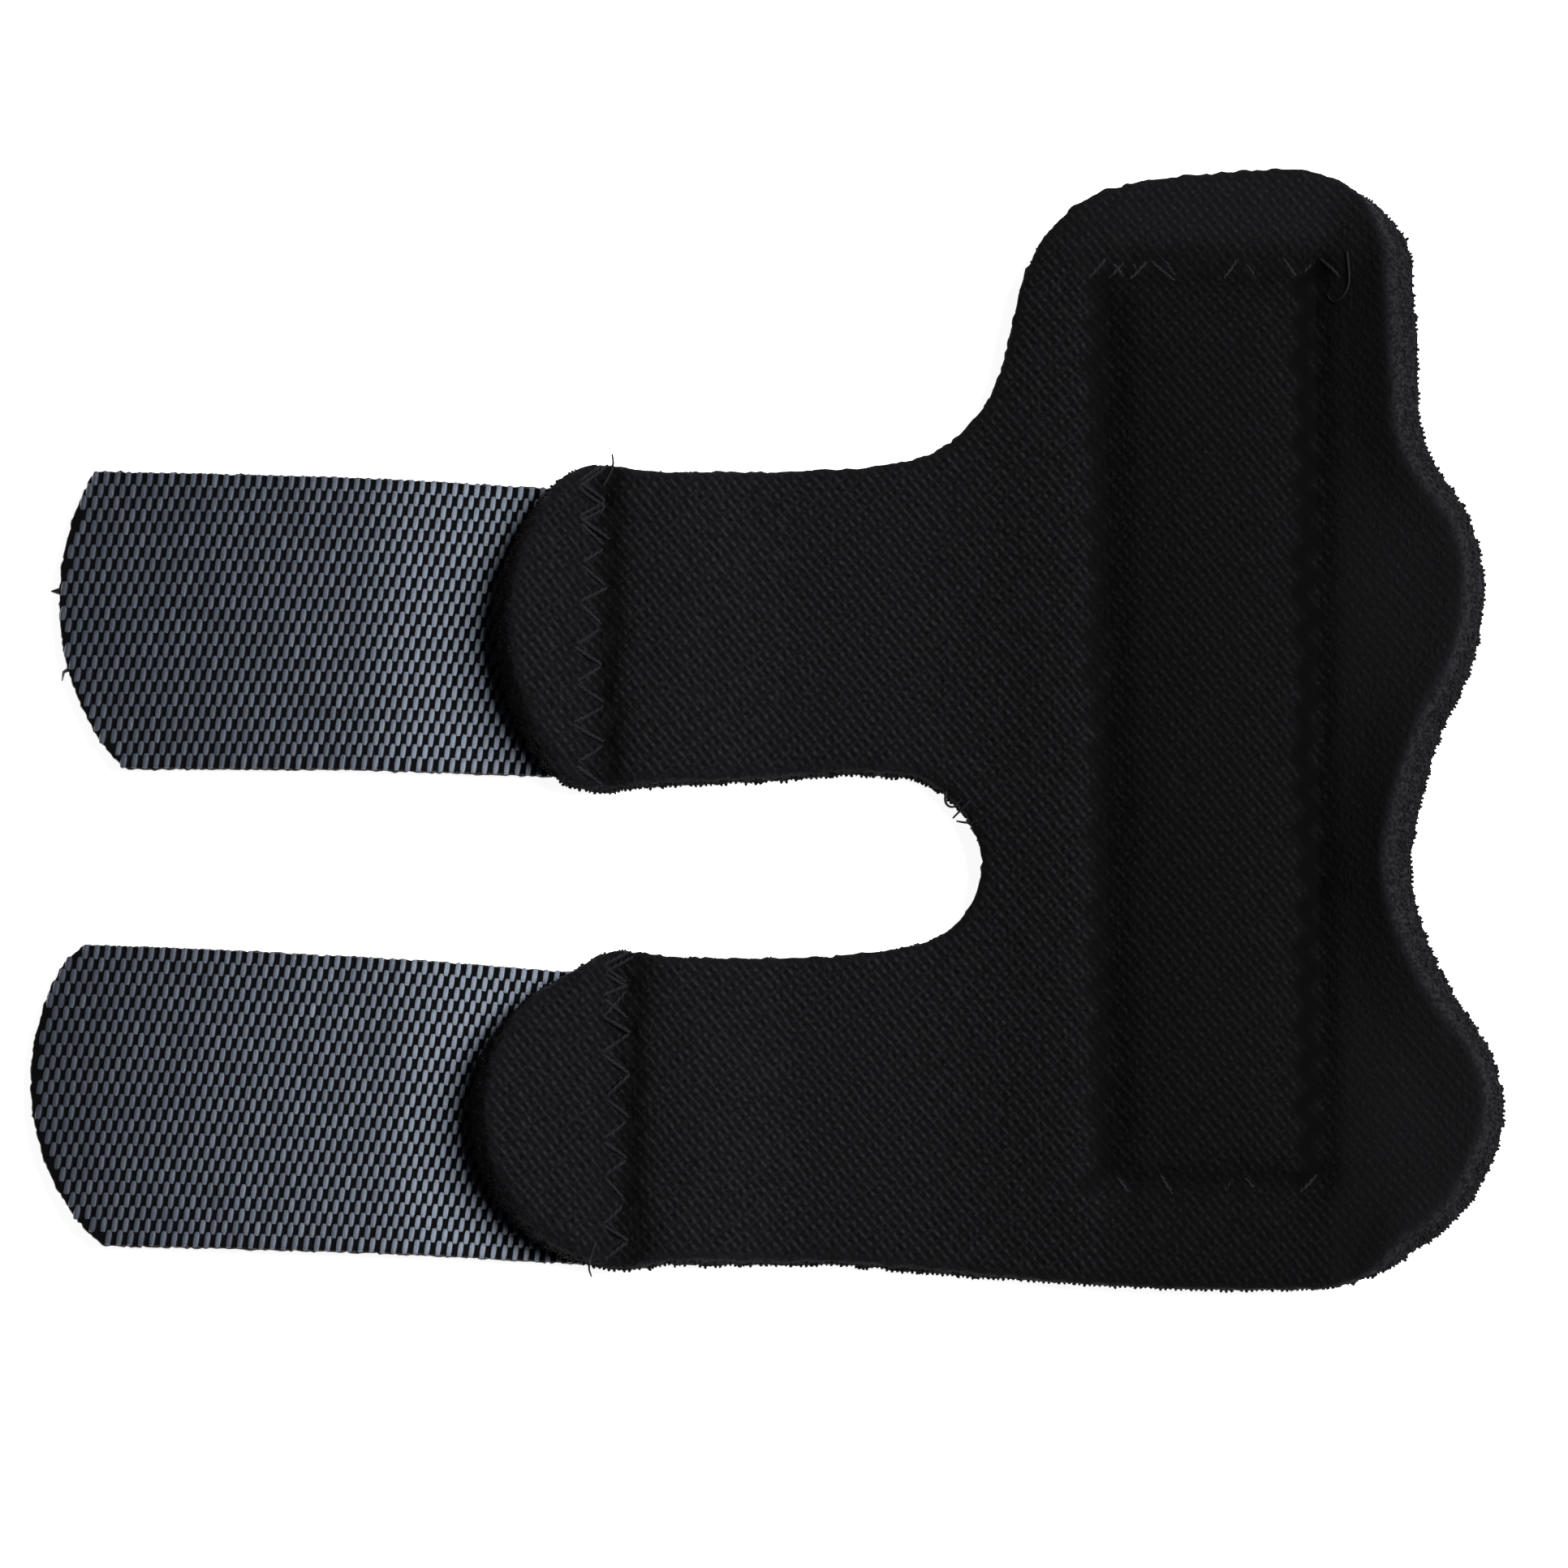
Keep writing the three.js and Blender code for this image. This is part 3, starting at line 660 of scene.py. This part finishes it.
def inside_tip(strap, points, margin):
    tip = tip_outline(strap)
    inside = np.ones(len(points), bool)
    for start, end in zip(tip[:-1], tip[1:]):
        outward = np.array([end[1] - start[1], start[0] - end[0]])
        outward /= np.linalg.norm(outward)
        inside &= (points[:, :2] - start) @ outward < -margin
    return inside


# Axes of a strap's surface at points along it: along the strap, across it, and up from it
def strap_axes(strap, x):
    nudge = 0.1 * MM
    slope = (arch_height(strap, x + nudge) - arch_height(strap, x - nudge)) / (2 * nudge)
    flat = np.zeros_like(slope)
    along = np.stack([np.ones_like(slope), flat, slope], axis=1)
    along /= np.linalg.norm(along, axis=1)[:, None]
    across = np.stack([flat, np.ones_like(slope), flat], axis=1)
    up = np.cross(along, across)
    origin = on_table(strap, np.zeros((1, 3)))
    columns = [on_table(strap, axis) - origin for axis in (along, across, up)]
    return np.stack(columns, axis=2)


def woven_floats(name, strap):
    rows = np.arange(int(strap["length"] * MM / CELL_LENGTH))
    along, across = np.meshgrid(rows, np.arange(CELLS_ACROSS), indexing="ij")
    chosen = (along + across) % 2 == 0
    x = (along[chosen] + 0.5) * CELL_LENGTH
    y = ((across[chosen] + 0.5) * 2 / CELLS_ACROSS - 1) * half_width(strap, x)
    points = np.stack([x, y, arch_height(strap, x) + GROUND_TOP], axis=1)
    points = points[inside_tip(strap, points, FLOAT_MARGIN)]
    axes = strap_axes(strap, points[:, 0])
    axes[:, :, 0] += random.normal(0, FLOAT_UNEVEN, (len(points), 1)) * axes[:, :, 2]
    axes *= random.uniform(1 - FLOAT_UNEVEN, 1 + FLOAT_UNEVEN, (len(points), 1, 1))
    return joined_copies(name, float_mound(strap["float_tilt"]), axes, on_table(strap, points))


HOOK_STEP = 1.3 * MM
HOOK_STAGGER = 0.2 * HOOK_STEP
HOOK_SIDE = 8.8 * MM  # the lanes lie within this of the strap's middle
HOOK_ENDS = 1.0 * MM
HOOK_MARGIN = 0.6 * MM
HOOK_WIRE = 0.1 * MM
HOOK_RADIUS = 0.2 * MM
HOOK_BEND = (180, 400)  # in degrees, where its end starts and stops turning
HOOK_ANCHOR = 0.1 * MM  # how far its stem goes up into the ground
HOOK_ROOT = GROUND_TOP - GROUND
HOOK_DROP = HOOK_ROOT - HOOK_WIRE


# A mesh tube along lines of points; each point has its own share of the radius
def tube(name, lines, radius, sides_resolution=0):
    curve = bpy.data.curves.new(name, "CURVE")
    curve.dimensions = "3D"
    curve.bevel_depth = radius
    curve.bevel_resolution = sides_resolution
    curve.use_fill_caps = True
    for points, widths in lines:
        spline = curve.splines.new("POLY")
        spline.points.add(len(points) - 1)
        for target, point, width in zip(spline.points, points, widths):
            target.co = (*point, 1)
            target.radius = width
    piece = bpy.data.objects.new(name, curve)
    bpy.context.collection.objects.link(piece)
    choose(piece)
    bpy.ops.object.convert(target="MESH")
    bpy.ops.object.shade_smooth()
    return bpy.context.object


# A stem that comes down from inside the ground and turns up again at its end
def hook_shape():
    middle = HOOK_RADIUS - HOOK_DROP
    points = [(0, 0, HOOK_ANCHOR), (0, 0, middle)]
    for angle in np.radians(np.linspace(*HOOK_BEND, 6))[1:]:
        points.append((HOOK_RADIUS * (1 + math.cos(angle)), 0, middle + HOOK_RADIUS * math.sin(angle)))
    return tube("hook", [(points, [1] * len(points))], HOOK_WIRE)


def hooks(name, strap):
    rows = np.arange(HOOK_ENDS, strap["length"] * MM - HOOK_ENDS, HOOK_STEP)
    lanes = np.arange(-HOOK_SIDE, HOOK_SIDE, HOOK_STEP)
    x, y = (grid.ravel() for grid in np.meshgrid(rows, lanes, indexing="ij"))
    row = np.round((x - rows[0]) / HOOK_STEP).astype(int)
    y = y + np.where(row % 2 == 0, HOOK_STAGGER, -HOOK_STAGGER)
    points = np.stack([x, y, arch_height(strap, x) + HOOK_ROOT], axis=1)
    kept = inside_tip(strap, points, HOOK_MARGIN)
    points = points[kept]
    axes = strap_axes(strap, points[:, 0])
    facing = np.where(row[kept] % 2 == 0, 1, -1)
    axes[:, :, :2] *= facing[:, None, None]
    return joined_copies(name, hook_shape(), axes, on_table(strap, points))


# One black nylon: the floats' blue-grey is partly painted sheen, the ground's near black partly painted
# shade
FLOAT_GREY = (0.017, 0.0195, 0.028, 1)
FLOAT_DARK = (0.011, 0.0125, 0.018, 1)
FLOAT_SHEEN = (0.72, 0.83, 1.0, 1)
GROUND_BLACK = (0.002, 0.002, 0.0025, 1)
YARN_MOTTLE = 1.1 * MM
YARN_GRAIN = 0.08 * MM
YARN_RELIEF = 0.02 * MM


def paint_yarn(name, light, dark, roughness, specular):
    material, nodes, links, shader = new_material(name)
    colour = colour_mix(nodes, links, grain(nodes, links, YARN_MOTTLE), dark, light)
    links.new(colour, shader.inputs["Base Color"])
    bump(nodes, links, shader, grain(nodes, links, YARN_GRAIN), YARN_RELIEF)
    shader.inputs["Roughness"].default_value = roughness
    shader.inputs["Specular IOR Level"].default_value = specular
    return material


float_yarn = paint_yarn("float_yarn", FLOAT_GREY, FLOAT_DARK, 0.4, 0.66)
float_yarn.node_tree.nodes["Principled BSDF"].inputs["Specular Tint"].default_value = FLOAT_SHEEN
tape_cloth = paint_yarn("tape_ground", GROUND_BLACK, GROUND_BLACK, 0.8, 0.03)
hook_nylon = paint_yarn("hook_nylon", FLOAT_DARK, GROUND_BLACK, 0.35, 0.4)

# The tape's long edges are bound by a dark yarn. Where it was cut with heat its yarns ran together in a
# thin bead, drawn out here and there to a spike, given as places on the table and widths in mm.
tip_spikes = {
    "upper": [
        [(-47.2, 11.2, 0.2), (-47.55, 10.4, 0.22), (-47.9, 10.05, 0.16), (-48.65, 9.9, 0.04)],
        [(-47.1, 8.5, 0.2), (-47.5, 9.3, 0.22), (-47.9, 9.75, 0.16), (-48.65, 9.9, 0.04)],
        [(-47.0, 9.8, 0.25), (-47.6, 9.85, 0.25), (-48.1, 9.9, 0.13), (-48.65, 9.9, 0.04)],
        [(-46.9, 4.6, 0.2), (-47.4, 4.5, 0.16), (-47.75, 4.3, 0.11), (-47.85, 3.7, 0.04)],
    ],
    "lower": [],
}
BEAD = 0.1 * MM
BEAD_SHARES = (0.7, 1.7)  # of the bead's radius, as it swells and thins
BEAD_STEP = 0.25 * MM
BEAD_UNEVEN = 0.03 * MM
BEAD_BROWN = (0.012, 0.007, 0.006, 1)
BEAD_BLACK = (0.004, 0.003, 0.003, 1)


def spaced(points, step):
    lengths = np.concatenate([[0], np.cumsum(np.linalg.norm(np.diff(points, axis=0), axis=1))])
    count = max(2, round(lengths[-1] / step) + 1)
    marks = np.linspace(0, lengths[-1], count)
    return np.stack([np.interp(marks, lengths, column) for column in points.T], axis=1)


def tape_rim(name, strap, spikes):
    tip = tip_outline(strap)
    sewn = half_width(strap, 0)
    rim = spaced(np.concatenate([[(0, -sewn)], tip, [(0, sewn)]]), BEAD_STEP)
    rim += random.normal(0, BEAD_UNEVEN, rim.shape)
    middle = GROUND_TOP - GROUND / 2
    height = arch_height(strap, rim[:, 0]) + middle
    lines = [(on_table(strap, np.column_stack([rim, height])), random.uniform(*BEAD_SHARES, len(rim)))]
    tip_height = arch_height(strap, strap["length"] * MM) + middle
    for spike in spikes:
        x, y, width = (np.array(spike) * MM).T
        lines.append((np.column_stack([x, y, np.full(len(x), tip_height)]), width / BEAD))
    return tube(name, lines, BEAD, 1)


melt = paint_yarn("melted_nylon", BEAD_BROWN, BEAD_BLACK, 0.35, 0.5)

tapes = {}
for side, strap in straps.items():
    tape = tape_ground(f"{side}_tape", strap)
    tape.data.materials.append(tape_cloth)
    floats = woven_floats(f"{side}_tape_floats", strap)
    bpy.ops.object.shade_smooth_by_angle(angle=FLAT_TOP_ANGLE)
    floats.data.materials.append(float_yarn)
    hook_field = hooks(f"{side}_tape_hooks", strap)
    hook_field.data.materials.append(hook_nylon)
    bead = tape_rim(f"{side}_tape_rim", strap, tip_spikes[side])
    bead.data.materials.append(melt)
    for piece in (tape, floats, hook_field, bead):
        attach(piece, "root")
    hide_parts(f"{side}_strap")
    tapes[side] = tape

# Seams
# Black two-ply sewing thread in a zigzag, drawn down into the cloth at each hole.
# The machine went back over one end of each seam. A few ends were left uncut, and a tuft hangs in the slot.

PLY = 0.14 * MM
PLY_OFFSET = 0.05 * MM
PLY_TWIST = 0.9 * MM
THREAD_STEP = 0.16 * MM
# How deep the thread lies in its bed: the panel's tight cloth closes over it, least at the ends
ARM_SUNK = 0.07 * MM
SIDE_SUNK = 0.4 * MM
END_SUNK = 0.23 * MM
SUNK_UNEVEN = (-0.07 * MM, 0.1 * MM)
SLACK_WAY = np.array([1, 1])  # stitches that run this way lie higher, and those that come back are tight
SLACK = 0.03 * MM
STITCH_RISE = 0.26 * MM
HOLE_DEPTH = 0.14 * MM
WELL_ABOVE = 20 * MM
END_TAPER = (0.8, 0.4)  # a loose end's thickness as shares of a strand's


def surface_of(piece):
    mesh = piece.data
    sides = [tuple(side.vertices) for side in mesh.polygons]
    return BVHTree.FromPolygons([vertex.co for vertex in mesh.vertices], sides)


# A seam's thread as it shows on one side: over the cloth between the holes and down into it at each
def stitched_path(line, surfaces, side, sunk):
    path = []
    count = max(4, round(np.linalg.norm(line[1] - line[0]) / THREAD_STEP))
    for start, end in zip(line[:-1], line[1:]):
        tight = SLACK if (end - start) @ SLACK_WAY < 0 else -SLACK
        hidden = sunk + tight + random.uniform(*SUNK_UNEVEN)
        for share in np.arange(count) / count:
            x, y = start + share * (end - start)
            origin = Vector((x, y, side * WELL_ABOVE))
            hits = [surface.ray_cast(origin, Vector((0, 0, -side))) for surface in surfaces]
            heights = [hit[0].z for hit in hits if hit[0] is not None]
            if not heights:
                continue
            height = max(heights) if side > 0 else min(heights)
            lift = STITCH_RISE * math.sin(math.pi * share) ** 0.5 - HOLE_DEPTH - hidden
            path.append((x, y, height + side * lift))
    return np.array(path)


# A line with its corners cut twice
def rounded(points):
    for _ in range(2):
        near_start = 0.75 * points[:-1] + 0.25 * points[1:]
        near_end = 0.25 * points[:-1] + 0.75 * points[1:]
        pairs = np.stack([near_start, near_end], axis=1)
        points = np.concatenate([points[:1], pairs.reshape(-1, 3), points[-1:]])
    return points


# A loose end of thread, on the cloth as far as there is cloth under it
def laid_end(points, surface):
    spots = []
    for x, y, z in spaced(rounded(np.array(points) * MM), THREAD_STEP):
        spot = surface.ray_cast(Vector((x, y, WELL_ABOVE)), Vector((0, 0, -1)))[0]
        spots.append((x, y, spot.z + PLY / 3 if spot else z))
    return np.array(spots), np.linspace(*END_TAPER, len(spots))


# Two strands wound round each other along a path
def plies(path):
    path = spaced(path, THREAD_STEP)
    ahead = np.gradient(path, axis=0)
    ahead /= np.linalg.norm(ahead, axis=1)[:, None] + 1e-12
    beside = np.cross(ahead, (0, 0, 1))
    beside /= np.linalg.norm(beside, axis=1)[:, None] + 1e-12
    above = np.cross(beside, ahead)
    turn = (2 * math.pi * THREAD_STEP / PLY_TWIST * np.arange(len(path)))[:, None]
    lines = []
    for start in (0, math.pi):
        strand = path + PLY_OFFSET * (np.cos(turn + start) * beside + np.sin(turn + start) * above)
        lines.append((strand, np.ones(len(strand))))
    return lines


THREAD_BLACK = (0.005, 0.005, 0.0057, 1)
THREAD_SHEEN = (0.0165, 0.0165, 0.019, 1)
thread = paint_yarn("sewing_thread", THREAD_SHEEN, THREAD_BLACK, 0.7, 0.05)

# Loose ends, as places in mm that are laid on the cloth where there is some
thread_ends = {
    "upper_arm": [(-11.2, 16.6, 4.5), (-10.6, 17.6, 4.6), (-10.5, 18.2, 4.5), (-10.6, 18.8, 4.2)],
    "lower_arm": [(-11.6, -35.4, 4.3), (-11.9, -36.2, 3.8), (-12.1, -36.9, 3.2), (-11.9, -37.4, 2.8)],
    "stay": [(39.2, 32.4, 6.4), (39.4, 30.2, 6.6), (38.9, 29.3, 6.4), (38.2, 29.0, 6.0), (37.9, 29.6, 5.8)],
    "slot": [(13.6, -4.9, 3.0), (13.0, -5.5, 3.0), (12.45, -6.0, 2.6)],
    "slot_below": [(14.1, -6.3, 3.0), (13.4, -6.4, 3.0), (12.7, -6.2, 2.6)],
    "slot_loop": [(12.0, -4.2, 3.0), (11.9, -5.1, 3.0), (12.5, -5.4, 3.0), (13.0, -4.8, 3.0)],
}
body_surface = surface_of(body)
under_surfaces = [surface_of(piece) for piece in (body, pocket, *tapes.values())]
upper_lines = []
lower_lines = []
for seam, line in seams.items():
    sunk = ARM_SUNK if "arm" in seam else SIDE_SUNK if seam in side_presses else END_SUNK
    upper_lines += plies(stitched_path(line, [body_surface], 1, sunk))
    lower_lines += plies(stitched_path(line, under_surfaces, -1, sunk))
for end in thread_ends.values():
    upper_lines.append(laid_end(end, body_surface))
for name, lines in (("seam_thread_face", upper_lines), ("seam_thread_back", lower_lines)):
    piece = tube(name, lines, PLY)
    piece.data.materials.append(thread)
    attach(piece, "root")

# Frayed edges
# Cut yarn of the brushed back and crumbs of foam stand out along the lower half of the die-cut edge.
# They are short, dark and blunt, lean every way, and hang on the cloth that they were cut from.

FUZZ_COUNT = 9000
FUZZ_EDGE = 0.15  # it stands on points that are on the cut edge at least this far
FUZZ_LAYER = 0.4  # and this far down through the layers
FUZZ_LEAN = 0.45
FUZZ_SIZES = (0.05, 0.13)  # in mm
FUZZ_LENGTH = 1.6  # as a share of its thickness
rim = np.flatnonzero((body_edge > FUZZ_EDGE) & (body_layer > FUZZ_LAYER))
chosen = random.choice(rim, FUZZ_COUNT)
normals = points_of(body.data, "normal")[chosen]
up = normals + random.normal(0, FUZZ_LEAN, normals.shape)
up /= np.linalg.norm(up, axis=1)[:, None]
along = np.cross(up, random.normal(0, 1, normals.shape))
along /= np.linalg.norm(along, axis=1)[:, None]
size = random.uniform(*FUZZ_SIZES, (FUZZ_COUNT, 1)) * MM
axes = np.stack([along * size, np.cross(up, along) * size, up * size * FUZZ_LENGTH], axis=2)
bpy.ops.object.select_all(action="DESELECT")
bpy.ops.mesh.primitive_ico_sphere_add(subdivisions=1, radius=1)
tufts = body_points[chosen]
tufts[:, 2] = np.maximum(tufts[:, 2], FUZZ_LENGTH * size[:, 0])
fuzz = joined_copies("edge_fuzz", bpy.context.object, axes, tufts)
FUZZ_DARK = (0.003, 0.003, 0.0035, 1)
FUZZ_LIGHT = (0.011, 0.011, 0.013, 1)
fuzz.data.materials.append(paint_yarn("fuzz_yarn", FUZZ_LIGHT, FUZZ_DARK, 0.8, 0.06))
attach(fuzz, "root")

# Studio
# A plain white table, one large soft light on the right, and an even pale surround.
# The camera looks down on it from the front, almost from straight above.

FLOOR_WHITE = (0.9, 0.9, 0.9, 1)
FLOOR_SIZE = 4
FLOOR_DROP = 0.02 * MM  # keeps the table clear of the cloth that lies on it
bpy.ops.object.select_all(action="DESELECT")
bpy.ops.mesh.primitive_plane_add(size=FLOOR_SIZE, location=(0, 0, -FLOOR_DROP))
floor = bpy.context.object
floor.name = "floor"
material, _, _, shader = new_material("white_table")
shader.inputs["Base Color"].default_value = FLOOR_WHITE
shader.inputs["Roughness"].default_value = 0.9
shader.inputs["Specular IOR Level"].default_value = 0.0
shader.inputs["Emission Color"].default_value = FLOOR_WHITE
shader.inputs["Emission Strength"].default_value = 1.0
floor.data.materials.append(material)

SURROUND = 0.1
world = bpy.data.worlds.new("pale_surround")
bpy.context.scene.world = world
world.use_nodes = True
world.node_tree.nodes["Background"].inputs["Color"].default_value = (1, 1, 1, 1)
world.node_tree.nodes["Background"].inputs["Strength"].default_value = SURROUND

KEY_WIDTH, KEY_LENGTH = 0.42, 0.6
KEY_POWER = 16
KEY_PLACE = (0.52, 0.1, 0.7)
key = bpy.data.lights.new("soft_key", "AREA")
key.shape = "RECTANGLE"
key.size = KEY_WIDTH
key.size_y = KEY_LENGTH
key.energy = KEY_POWER
key_light = bpy.data.objects.new("soft_key", key)
bpy.context.collection.objects.link(key_light)
key_light.location = KEY_PLACE
key_light.rotation_euler = Vector(key_light.location).to_track_quat("Z", "Y").to_euler()

VIEW_ELEVATION = math.radians(79)
VIEW_DISTANCE = 1.2
VIEW_WIDTH = 106.26 * MM
VIEW_CENTRE = Vector((1.045, -3.023, -0.588)) * MM
camera_data = bpy.data.cameras.new("camera")
camera_data.sensor_width = 36
camera_data.lens = camera_data.sensor_width * VIEW_DISTANCE / VIEW_WIDTH
camera = bpy.data.objects.new("camera", camera_data)
bpy.context.collection.objects.link(camera)
away = Vector((0, -math.cos(VIEW_ELEVATION), math.sin(VIEW_ELEVATION)))
camera.location = VIEW_CENTRE + VIEW_DISTANCE * away
camera.rotation_euler = (math.pi / 2 - VIEW_ELEVATION, 0, 0)
bpy.context.scene.camera = camera
bpy.context.scene.view_settings.view_transform = "Standard"
